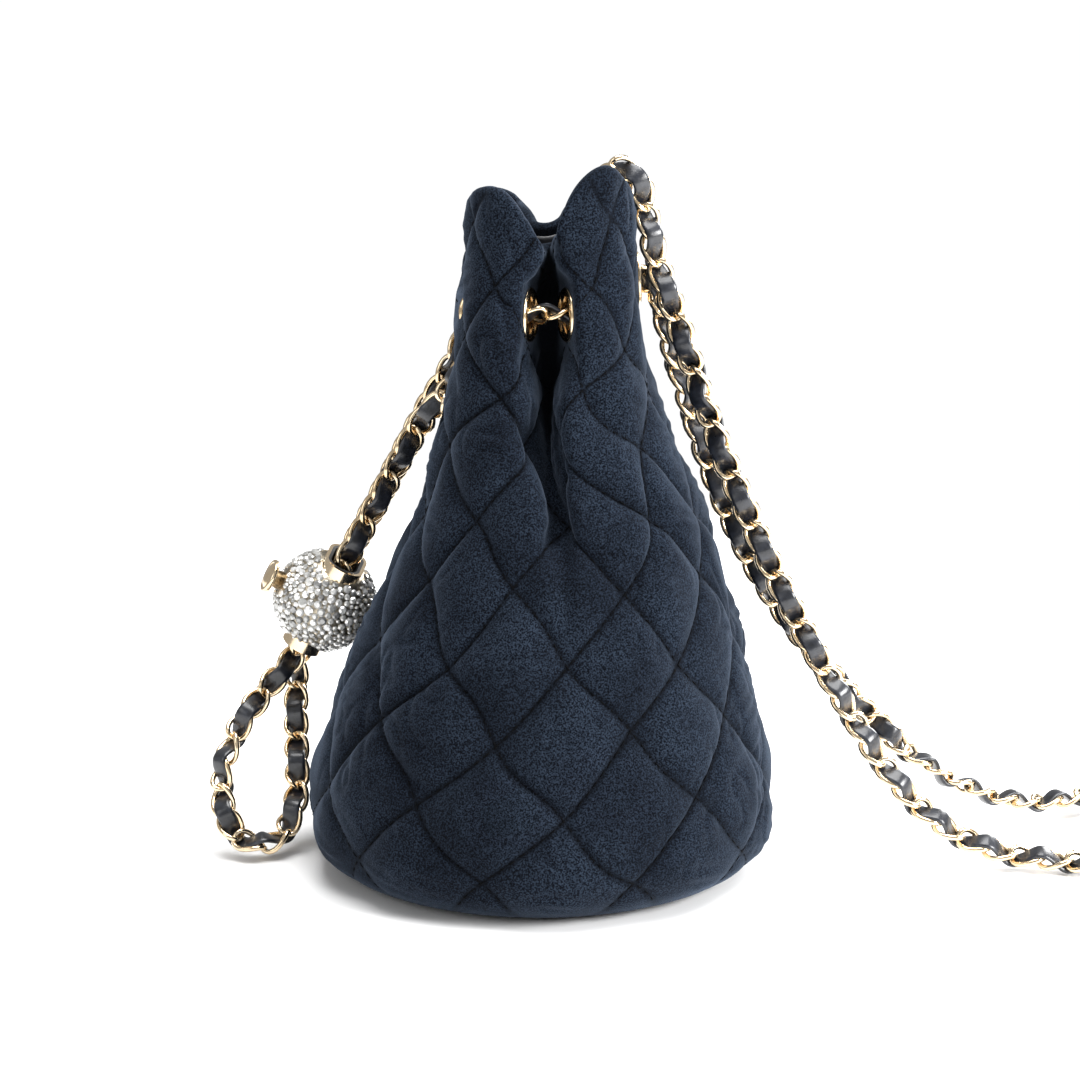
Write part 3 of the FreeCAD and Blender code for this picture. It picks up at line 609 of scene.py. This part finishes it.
def seam_stitches(outer, normal):
    """Short thread stitches that lie in the quilting seams."""
    points, faces = [], []
    for way in (1, -1):
        for line in range(-6, 17):
            walk = np.arange(0.0, 6.0, 0.004)
            track = []
            for row in walk:
                z = float(np.interp(row, np.arange(len(CROSSINGS)) / 2.0, CROSSINGS))
                column = way * (row - line)
                u = (column + 0.12 * (1.0 - float(step(z, 0.080, 0.120)))) / DIAMONDS
                u0, z0 = u, z
                for _ in range(3):
                    aside, up = seam_drift(u, z)
                    u, z = u0 - float(aside), z0 - float(up)
                if 0.004 < z < 0.166 and -0.5 <= u < 0.5 + 1e-9:
                    track.append((on_surface(outer, u, z), on_surface(normal, u, z)))
            if len(track) < 20:
                continue
            place = np.array([p for p, n in track])
            run = np.concatenate(([0.0], np.cumsum(np.linalg.norm(np.diff(place, axis=0), axis=1))))
            for start in np.arange(0.001, run[-1] - 0.003, 0.0031):
                a, b = (
                    np.array([np.interp(start + reach, run, place[:, k]) for k in range(3)])
                    for reach in (0.0, 0.0021)
                )
                out = track[int(np.searchsorted(run, start + 0.001))][1]
                add_stitch(points, faces, a, b, out)
    return piece("quilting_thread", points, faces, THREAD, "velvet")


def add_stitch(points, faces, a, b, out):
    """A thread from a to b, thickest midway."""
    along = (b - a) / max(np.linalg.norm(b - a), 1e-9)
    side = np.cross(along, out)
    start = len(points)
    points.append(a + out * 0.00002)
    for share in (0.25, 0.75):
        for across, up in ((1, 0), (0, 1), (-1, 0), (0, -1)):
            points.append(a + (b - a) * share + side * across * 0.00018 + out * (up * 0.00014 + 0.00008))
    points.append(b + out * 0.00002)
    for k in range(4):
        n = (k + 1) % 4
        faces.append((start, start + 1 + k, start + 1 + n))
        faces.append((start + 1 + k, start + 5 + k, start + 5 + n, start + 1 + n))
        faces.append((start + 9, start + 5 + n, start + 5 + k))


def inner_layer(name, low, high, depth, thickness, material, slot, nodes):
    """A layer that follows the inside of the bag's wall between two heights."""
    count = 2 + int((float(np.max(high)) - low) / 0.0015)
    rows = np.array([outline_at(low + (high - low) * w) for w in np.linspace(0.0, 1.0, count)])
    normal = outward(rows)
    outside, _ = press_to_eyelets(rows - normal * depth, depth)
    inside, _ = press_to_eyelets(rows - normal * (depth + thickness), depth + thickness)
    points = np.concatenate((outside, inside[::-1]))
    holes = through_eyelet(points, depth + thickness / 2).reshape(-1)
    faces = grid_faces(len(points), COLUMNS) + closing_faces(len(points), COLUMNS)
    faces = [f for f in faces if not all(holes[list(f)])]
    obj = piece(name, points.reshape(-1, 3), faces, material, slot)
    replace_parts(obj, *nodes)
    return obj


def base_cover():
    """The velvet under the base, quilted in squares and drawn in at its edge."""
    radius = 0.0453
    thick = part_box("base_panel")[1][2]
    rings, spokes = 70, 160
    turns = [2 * math.pi * j / spokes for j in range(spokes)]
    points = [(0.0, 0.0, 0.0004)]
    for k in range(1, rings + 1):
        r = radius * k / rings
        for a in turns:
            x, y = r * math.cos(a), r * math.sin(a)
            p = abs(((x + y) / 0.036 + 0.5) % 1.0 - 0.5) * 2
            q = abs(((x - y) / 0.036 + 0.5) % 1.0 - 0.5) * 2
            pillow = ((1 - (1 - p) ** 3) * (1 - (1 - q) ** 3)) ** 0.6
            edge = float(step(np.array(r), radius - 0.004, radius))
            points.append((x, y, 0.0010 * (1 - pillow) * (1 - edge) + 0.0016 * edge))
    faces = [(0, 1 + (j + 1) % spokes, 1 + j) for j in range(spokes)]
    faces += [tuple(reversed(f)) for f in grid_faces(rings, spokes, start=1)]
    top = len(points)
    points += [(radius * math.cos(a), radius * math.sin(a), thick) for a in turns]
    edge = 1 + (rings - 1) * spokes
    for j in range(spokes):
        n = (j + 1) % spokes
        faces.append((top + n, top + j, edge + j, edge + n))
    faces.append(tuple(top + j for j in range(spokes)))
    obj = piece("base_velvet", points, faces, VELVET, "velvet")
    attribute = obj.data.attributes.new("seam", "FLOAT", "POINT")
    attribute.data.foreach_set("value", [0.0] * len(obj.data.vertices))
    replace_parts(obj, "base_panel")


def lining_pocket():
    """A flat patch pocket on the back of the lining, with a folded hem and an open top."""
    low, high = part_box("inner_pocket")
    wide, tall = high[0] - low[0], high[2] - low[2]
    slope = math.radians(17.0)
    foot = Vector((0.0, low[1] + 0.0125, low[2] + 0.0003))
    up = Vector((0.0, -math.sin(slope), math.cos(slope)))
    out = Vector((0.0, -math.cos(slope), -math.sin(slope)))
    columns, rows = 33, 25
    points, faces = [], []
    for layer in (0.0, 0.0006):
        for r in range(rows):
            for c in range(columns):
                s, t = c / (columns - 1) * 2 - 1, r / (rows - 1)
                slack = 0.0011 * (1 - s * s) * t + 0.0004 * (t > 0.9) - 0.0005
                place = foot + Vector((s * wide / 2, 0, 0)) + up * (t * tall * 0.99)
                points.append(place + out * (slack - layer + 0.0009))
    faces += grid_faces(rows, columns, closed=False)
    faces += [tuple(reversed(f)) for f in grid_faces(rows, columns, closed=False, start=rows * columns)]
    n = rows * columns
    rim = list(range(columns)) + [r * columns + columns - 1 for r in range(1, rows)]
    rim += [n - 1 - c for c in range(1, columns)] + [r * columns for r in range(rows - 2, 0, -1)]
    faces += [(a, b, n + b, n + a) for a, b in zip(rim, rim[1:] + rim[:1])]
    obj = piece("lining_pocket", points, faces, LINING, "lining_fabric")
    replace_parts(obj, "inner_pocket")


def board():
    """The stiff board between the base's velvet and its lining, rounded at its lower edge."""
    low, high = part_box("base_board")
    edge = high[0] - 0.0020
    profile = (
        (0.0, low[2]), (edge - 0.0016, low[2]), (edge - 0.0004, low[2] + 0.0004), (edge, low[2] + 0.0012),
        (edge, high[2]), (0.0, high[2]),
    )
    points, faces = lathe(profile, (0.0, 0.0, 0.0), (0.0, 0.0, 1.0), 96)
    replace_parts(piece("stiff_board", points, faces, plain_board(), "board"), "base_board")


outer_face, outer_normal = velvet_body()
seam_stitches(outer_face, outer_normal)
inner_layer("mouth_facing", 0.1280, RIM - 0.0015, 0.0038, 0.0006, FACING, "facing_leather", ("rim_facing",))
LINING_TOP = np.full(COLUMNS, 0.1282)
inner_layer("lining_sleeve", 0.0062, LINING_TOP, 0.0042, 0.0006, LINING, "lining_fabric", ("lining",))
base_cover()
board()
lining_pocket()


# ---- eyelets ----------------------------------------------------------------------------------


def eyelet_rings():
    """A rolled flange and barrel outside, and the washer that holds it inside."""
    for name, place, inwards in EYELETS:
        profile = (
            (0.0044, 0.0056), (0.0044, 0.0002), (0.0047, -0.0005), (0.0053, -0.00085), (0.0060, -0.0008),
            (0.0065, -0.0005), (0.0067, -0.00015), (0.0066, 0.0), (0.0050, 0.0001), (0.0050, 0.0056),
        )
        points, faces = lathe(profile, place, inwards)
        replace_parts(piece("eyelet_ring_" + name, points, faces, GOLD, "gold_metal"), "eyelet_" + name)
        washer = (
            (0.0051, 0.0040), (0.0065, 0.0040), (0.0067, 0.0043), (0.0065, 0.0047), (0.0058, 0.0050),
            (0.0053, 0.0049), (0.0051, 0.0045),
        )
        points, faces = lathe(washer, place, inwards)
        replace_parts(piece("washer_ring_" + name, points, faces, GOLD, "gold_metal"), "washer_" + name)


eyelet_rings()


# ---- the woven chain --------------------------------------------------------------------------


def spline_points(name, route):
    """The smooth line through a route: a curve with no thickness, read back as points."""
    curve = bpy.data.curves.new(name, "CURVE")
    curve.dimensions = "3D"
    curve.resolution_u = 24
    spline = curve.splines.new("NURBS")
    spline.points.add(len(route) - 1)
    for point, place in zip(spline.points, route):
        point.co = (*place, 1.0)
    spline.order_u = 3
    spline.use_endpoint_u = True
    obj = bpy.data.objects.new(name, curve)
    mesh = bpy.data.meshes.new_from_object(obj)
    points = np.array([v.co for v in mesh.vertices])
    bpy.data.meshes.remove(mesh)
    bpy.data.objects.remove(obj)
    bpy.data.curves.remove(curve)
    return points


class Line:
    """A line read by length, with a direction, a face that looks at the viewer or up, and a side."""

    def __init__(self, points, face=None):
        self.points = points
        steps = np.linalg.norm(np.diff(points, axis=0), axis=1)
        self.run = np.concatenate(([0.0], np.cumsum(steps)))
        self.length = float(self.run[-1])
        self.samples = np.linspace(0.0, self.length, max(int(self.length / 0.0005), 40))
        self.place = np.stack([np.interp(self.samples, self.run, points[:, k]) for k in range(3)], axis=1)
        along = np.gradient(self.place, axis=0)
        along /= np.linalg.norm(along, axis=1, keepdims=True)
        lift = step(self.place[:, 2], 0.010, 0.034)[:, None]
        wish = lift * np.array((0.0, -1.0, 0.12)) + (1 - lift) * np.array((0.0, -0.15, 1.0))
        if face is not None:
            wish = np.tile(np.array(face, float), (len(self.place), 1))
        turn = 0.45 * np.sin(self.samples * 41.0) + 0.25 * np.sin(self.samples * 97.0 + 1.0)
        normal = wish - along * np.sum(wish * along, axis=1, keepdims=True)
        normal /= np.linalg.norm(normal, axis=1, keepdims=True)
        side = np.cross(normal, along)
        normal = normal * np.cos(turn)[:, None] + side * np.sin(turn)[:, None]
        weights = np.ones(9) / 9.0
        padded = np.concatenate((np.repeat(normal[:1], 4, 0), normal, np.repeat(normal[-1:], 4, 0)))
        normal = np.stack([np.convolve(padded[:, k], weights, "valid") for k in range(3)], axis=1)
        normal -= along * np.sum(normal * along, axis=1, keepdims=True)
        normal /= np.linalg.norm(normal, axis=1, keepdims=True)
        self.along, self.normal, self.side = along, normal, np.cross(along, normal)

    def read(self, values, s):
        return np.stack([np.interp(s, self.samples, values[:, k]) for k in range(3)], axis=-1)


def chain_links(line, count):
    """Twisted oval links, each passing through the next."""
    around, section_steps = 26, 8
    half_length, half_width = CHAIN_PITCH / 2 + WIRE, CHAIN_WIDTH / 2 - WIRE
    t = np.linspace(0.0, 2 * math.pi, around, endpoint=False)
    x = half_length * np.sign(np.cos(t)) * np.abs(np.cos(t)) ** 0.85
    y = half_width * np.sign(np.sin(t)) * np.abs(np.sin(t)) ** 0.80
    twist = math.radians(44.0) * x / half_length
    centre = np.stack((x, y * np.cos(twist), y * np.sin(twist)), axis=1)
    ahead = np.roll(centre, -1, axis=0) - np.roll(centre, 1, axis=0)
    ahead /= np.linalg.norm(ahead, axis=1, keepdims=True)
    out = centre - ahead * np.sum(centre * ahead, axis=1, keepdims=True)
    out /= np.linalg.norm(out, axis=1, keepdims=True)
    other = np.cross(ahead, out)
    a = np.linspace(0.0, 2 * math.pi, section_steps, endpoint=False)[None, :, None]
    ring = centre[:, None, :] + WIRE * (out[:, None, :] * np.cos(a) + other[:, None, :] * np.sin(a))
    local = ring.reshape(-1, 3)
    one = [
        (i * section_steps + j, i * section_steps + (j + 1) % section_steps,
         ((i + 1) % around) * section_steps + (j + 1) % section_steps, ((i + 1) % around) * section_steps + j)
        for i in range(around) for j in range(section_steps)
    ]
    points, faces = [], []
    for k in range(count):
        s = (k + 0.5) * line.length / count
        axes = [line.read(values, np.array([s]))[0] for values in (line.along, line.side, line.normal)]
        spot = line.read(line.place, np.array([s]))[0]
        points.append(spot + local @ np.array(axes))
        faces += [tuple(v + k * len(local) for v in f) for f in one]
    return np.concatenate(points), faces


def chain_ribbon(line, count):
    """A flat strip that passes over one joint of the links and under the next."""
    pitch = line.length / count
    s = np.linspace(0.0, line.length, count * 12 + 1)
    place, along, normal, side = (line.read(v, s) for v in (line.place, line.along, line.normal, line.side))
    wave = 0.00215 * np.sin(math.pi * (s / pitch - 0.5))
    slope = np.gradient(wave, s)[:, None]
    up = normal - along * slope
    up /= np.linalg.norm(up, axis=1, keepdims=True)
    half_wide, half_thick = 0.0023, 0.00055
    outline = []
    for a in (2 * math.pi * k / 10 for k in range(10)):
        wide = math.copysign(abs(math.cos(a)) ** 0.4, math.cos(a)) * half_wide
        thick = math.copysign(abs(math.sin(a)) ** 0.7, math.sin(a)) * half_thick
        outline.append((wide, thick))
    middle = place + normal * wave[:, None]
    rings = np.stack([middle + side * w + up * h for w, h in outline], axis=1)
    points = rings.reshape(-1, 3)
    n = len(outline)
    faces = grid_faces(len(s), n)
    faces += [tuple(reversed(range(n))), tuple((len(s) - 1) * n + j for j in range(n))]
    return points, faces


def woven_chain(name, points, nodes, face=None):
    line = Line(points, face)
    count = max(round(line.length / CHAIN_PITCH), 2)
    links = piece(name + "_links", *chain_links(line, count), GOLD, "gold_metal")
    ribbon = piece(name + "_ribbon", *chain_ribbon(line, count), RIBBON, "woven_chain")
    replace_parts(links, *nodes)
    return links, ribbon, line


def ring_point(angle):
    a = math.radians(angle)
    return MOUTH_CENTRE + Vector((math.cos(a), math.sin(a), 0)) * EYELET_RING


def mouth_chain(name, first, last, node):
    angles = np.linspace(first, last, 40)
    woven_chain(name, np.array([ring_point(a) for a in angles]), (node,), (0.0, 0.0, 1.0))


def coil_points():
    """The turns of the coil, rising over the place where the chain comes in."""
    points = []
    for k in range(1, int(COIL_TURNS * 14)):
        share = k / (COIL_TURNS * 14)
        a = math.radians(-90.0 + 360.0 * COIL_TURNS * share)
        height = 0.0034 + 0.0060 * float(step(np.array(share), 0.25, 0.62))
        points.append(COIL_CENTRE + Vector((math.cos(a) * COIL_RADIUS, math.sin(a) * COIL_RADIUS, height)))
    return points


def through_ball(side):
    return [BALL_CENTRE + BALL_AXIS * run + BALL_ACROSS * side * STRAND_APART for run in BALL_RUNS]


def shoulder_chain():
    route = [ring_point(293.0)] + [Vector(p) for p in ROUTE_FRONT] + coil_points()
    route += [Vector(p) for p in reversed(ROUTE_BACK)] + [ring_point(64.0)]
    nodes = ("shoulder_chain_front", "shoulder_chain_coil", "shoulder_chain_back")
    links, ribbon, line = woven_chain("shoulder_chain", spline_points("shoulder_route", route), nodes)


def closing_chain():
    route = [ring_point(193.5)] + [Vector(p) for p in OUT_FRONT] + through_ball(1)
    route += [Vector(p) for p in HAND_LOOP]
    route += through_ball(-1)[::-1] + [Vector(p) for p in OUT_BACK] + [ring_point(166.5)]
    points = spline_points("closing_route", route)
    links, ribbon, line = woven_chain("closing_chain", points, ("closure_chain",))


mouth_chain("mouth_chain_front_part", 193.5, 293.0, "mouth_chain_front")
mouth_chain("mouth_chain_back_part", 64.0, 166.5, "mouth_chain_back")
shoulder_chain()
closing_chain()


# ---- the closing ball -------------------------------------------------------------------------


STUD_AXIS = Vector((-0.86, -0.25, 0.45)).normalized()


def keeps_clear(direction, size):
    """True where a stone of this size clears the chain's slot and the stud's foot."""
    across, aside = direction.dot(BALL_ACROSS) * 0.0138, direction.dot(BALL_ASIDE) * 0.0138
    outside_slot = math.hypot(max(abs(across) - 0.0035, 0.0), aside) > 0.0056 + size
    return outside_slot and direction.angle(STUD_AXIS) * 0.0138 > 0.0030 + size


def ball_stones():
    """Close-set cut stones of mixed sizes, spread so that they sit side by side."""
    seeded = np.random.default_rng(7)
    count = 640
    sizes = np.clip(seeded.normal(0.00092, 0.00024, count), 0.00055, 0.00135)
    golden = math.pi * (3 - math.sqrt(5))
    k = np.arange(count)
    y = 1 - 2 * (k + 0.5) / count
    out = np.sqrt(1 - y * y)
    directions = np.stack((out * np.cos(golden * k), y, out * np.sin(golden * k)), axis=1)
    for _ in range(40):
        apart = directions[:, None, :] - directions[None, :, :]
        distance = np.linalg.norm(apart, axis=2) + np.eye(count)
        wanted = (sizes[:, None] + sizes[None, :]) * 1.03 / 0.0134
        push = np.clip(wanted - distance, 0.0, None) * (1 - np.eye(count))
        directions += 0.35 * np.sum(apart / distance[:, :, None] * push[:, :, None], axis=1)
        directions /= np.linalg.norm(directions, axis=1, keepdims=True)
    points, faces = [], []
    for direction, size in zip(directions, sizes):
        out = Vector(direction)
        if not keeps_clear(out, size):
            continue
        tilt = Vector(seeded.normal(0.0, 0.10, 3))
        up = (out + tilt).normalized()
        side = up.orthogonal().normalized()
        other = up.cross(side)
        spin = seeded.uniform(0.0, math.pi)
        start = len(points)
        for wide, high in ((0.55, 0.00042), (1.0, 0.00005), (0.92, -0.00035)):
            for j in range(8):
                a = spin + 2 * math.pi * j / 8
                spread = (side * math.cos(a) + other * math.sin(a)) * size * wide
                points.append(BALL_CENTRE + out * 0.01335 + up * high + spread)
        faces.append(tuple(start + j for j in range(8)))
        for j in range(8):
            n = (j + 1) % 8
            faces.append((start + 8 + j, start + 8 + n, start + n))
            faces.append((start + 8 + j, start + n, start + j))
            faces.append((start + 16 + j, start + 16 + n, start + 8 + n, start + 8 + j))
        faces.append(tuple(start + 23 - j for j in range(8)))
    return piece("ball_stones", points, faces, STONES, "crystal", "closing_ball", smooth=False)


def in_slot(place):
    """True inside the slot that the two strands pass through."""
    off = place - BALL_CENTRE
    across = max(abs(off.dot(BALL_ACROSS)) - 0.0035, 0.0)
    return math.hypot(across, off.dot(BALL_ASIDE)) < 0.0051


def ball_setting():
    """The pitted metal ball that holds the stones, open where the chain passes."""
    rings, spokes = 60, 96
    points = []
    for i in range(rings + 1):
        polar = 0.02 + (math.pi - 0.04) * i / rings
        for j in range(spokes):
            a = 2 * math.pi * j / spokes
            aside, across = math.sin(polar) * math.sin(a), math.sin(polar) * math.cos(a)
            out = BALL_ACROSS * across + BALL_ASIDE * aside + BALL_AXIS * math.cos(polar)
            pitted = 0.01315 + 0.00008 * math.sin(37 * a) * math.sin(41 * polar)
            points.append(BALL_CENTRE + out * pitted)
    faces = [f for f in grid_faces(rings + 1, spokes) if not all(in_slot(points[v]) for v in f)]
    obj = piece("ball_setting", points, faces, SETTING, "gold_metal", "closing_ball")
    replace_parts(obj, "ball_stone_setting")


def ball_stud():
    """A plain round stud with a raised rim and a domed middle."""
    profile = (
        (0.0, 0.0126), (0.0024, 0.0126), (0.0024, 0.0151), (0.0029, 0.0154), (0.0043, 0.0155),
        (0.00455, 0.0158), (0.0046, 0.0164), (0.0044, 0.0168), (0.0039, 0.0169), (0.0036, 0.0167),
        (0.0034, 0.01655), (0.0031, 0.0168), (0.0024, 0.0172), (0.0014, 0.0175), (0.0, 0.0176),
    )
    points, faces = lathe(profile, BALL_CENTRE, STUD_AXIS)
    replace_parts(piece("ball_stud", points, faces, GOLD, "gold_metal", "closing_ball"), "ball_emblem")


ball_stones()
ball_setting()
ball_stud()


def finish_node(name, material, bevel):
    """Gives a CAD piece that stays its material and a softened edge."""
    node = frame["nodes"][name]
    node.data.materials.clear()
    node.data.materials.append(material)
    if bevel:
        edge = node.modifiers.new("edge", "BEVEL")
        edge.width = bevel
        edge.segments = 3
        edge.limit_method = "ANGLE"
        edge.angle_limit = math.radians(40)


for collar in ("ball_upper_collar", "ball_lower_collar"):
    finish_node(collar, GOLD, 0.0002)
for half in ("ball_upper_shell", "ball_lower_shell"):
    finish_node(half, SETTING, 0.0)
finish_node("ball_grip_sleeve", grip_rubber(), 0.0)
finish_node("lining_base", LINING, 0.0002)


# ---- floor, light and camera ------------------------------------------------------------------


def studio():
    s = Surface("pale_floor", 0.6)
    s.colour(s.ramp(s.noise(3.0), ((0.3, (0.93, 0.93, 0.93)), (0.7, (0.95, 0.95, 0.95)))))
    mesh = bpy.data.meshes.new("floor")
    corners = ((-0.9, -0.8), (1.1, -0.8), (1.1, 0.5), (-0.9, 0.5))
    mesh.from_pydata([(x, y, -0.0001) for x, y in corners], [], [(0, 1, 2, 3)])
    mesh.materials.append(s.material)
    floor = bpy.data.objects.new("floor", mesh)
    bpy.context.scene.collection.objects.link(floor)
    world = bpy.data.worlds.new("soft_room")
    world.use_nodes = True
    background = world.node_tree.nodes["Background"]
    background.inputs["Color"].default_value = (1.0, 1.0, 1.0, 1.0)
    seen = world.node_tree.nodes.new("ShaderNodeLightPath")
    strength = world.node_tree.nodes.new("ShaderNodeMapRange")
    strength.inputs["To Min"].default_value = 0.42
    strength.inputs["To Max"].default_value = 1.02
    world.node_tree.links.new(seen.outputs["Is Camera Ray"], strength.inputs["Value"])
    world.node_tree.links.new(strength.outputs["Result"], background.inputs["Strength"])
    bpy.context.scene.world = world
    for name, place, size, power in (
        ("key", (0.90, -0.42, 0.50), 0.45, 19.0),
        ("fill", (-0.80, -0.70, 0.60), 0.6, 2.0),
        ("back_right", (0.65, 0.70, 0.55), 0.5, 10.0),
        ("top", (0.05, 0.0, 1.2), 0.9, 20.0),
    ):
        light = bpy.data.lights.new(name, "AREA")
        light.size = size
        light.energy = power
        lamp = bpy.data.objects.new(name, light)
        lamp.location = place
        lamp.rotation_euler = (Vector((0, 0, 0.08)) - Vector(place)).to_track_quat("-Z", "Y").to_euler()
        bpy.context.scene.collection.objects.link(lamp)


def camera():
    lens = bpy.data.cameras.new("camera")
    lens.sensor_width = 36.0
    lens.lens = 80.1
    eye = bpy.data.objects.new("camera", lens)
    eye.location = (0.0, -0.600, 0.200)
    eye.rotation_euler = (math.radians(90.0 - 10.98), 0.0, 0.0)
    bpy.context.scene.collection.objects.link(eye)
    bpy.context.scene.camera = eye
    bpy.context.scene.view_settings.view_transform = "Standard"


studio()
camera()
bpy.context.view_layer.update()
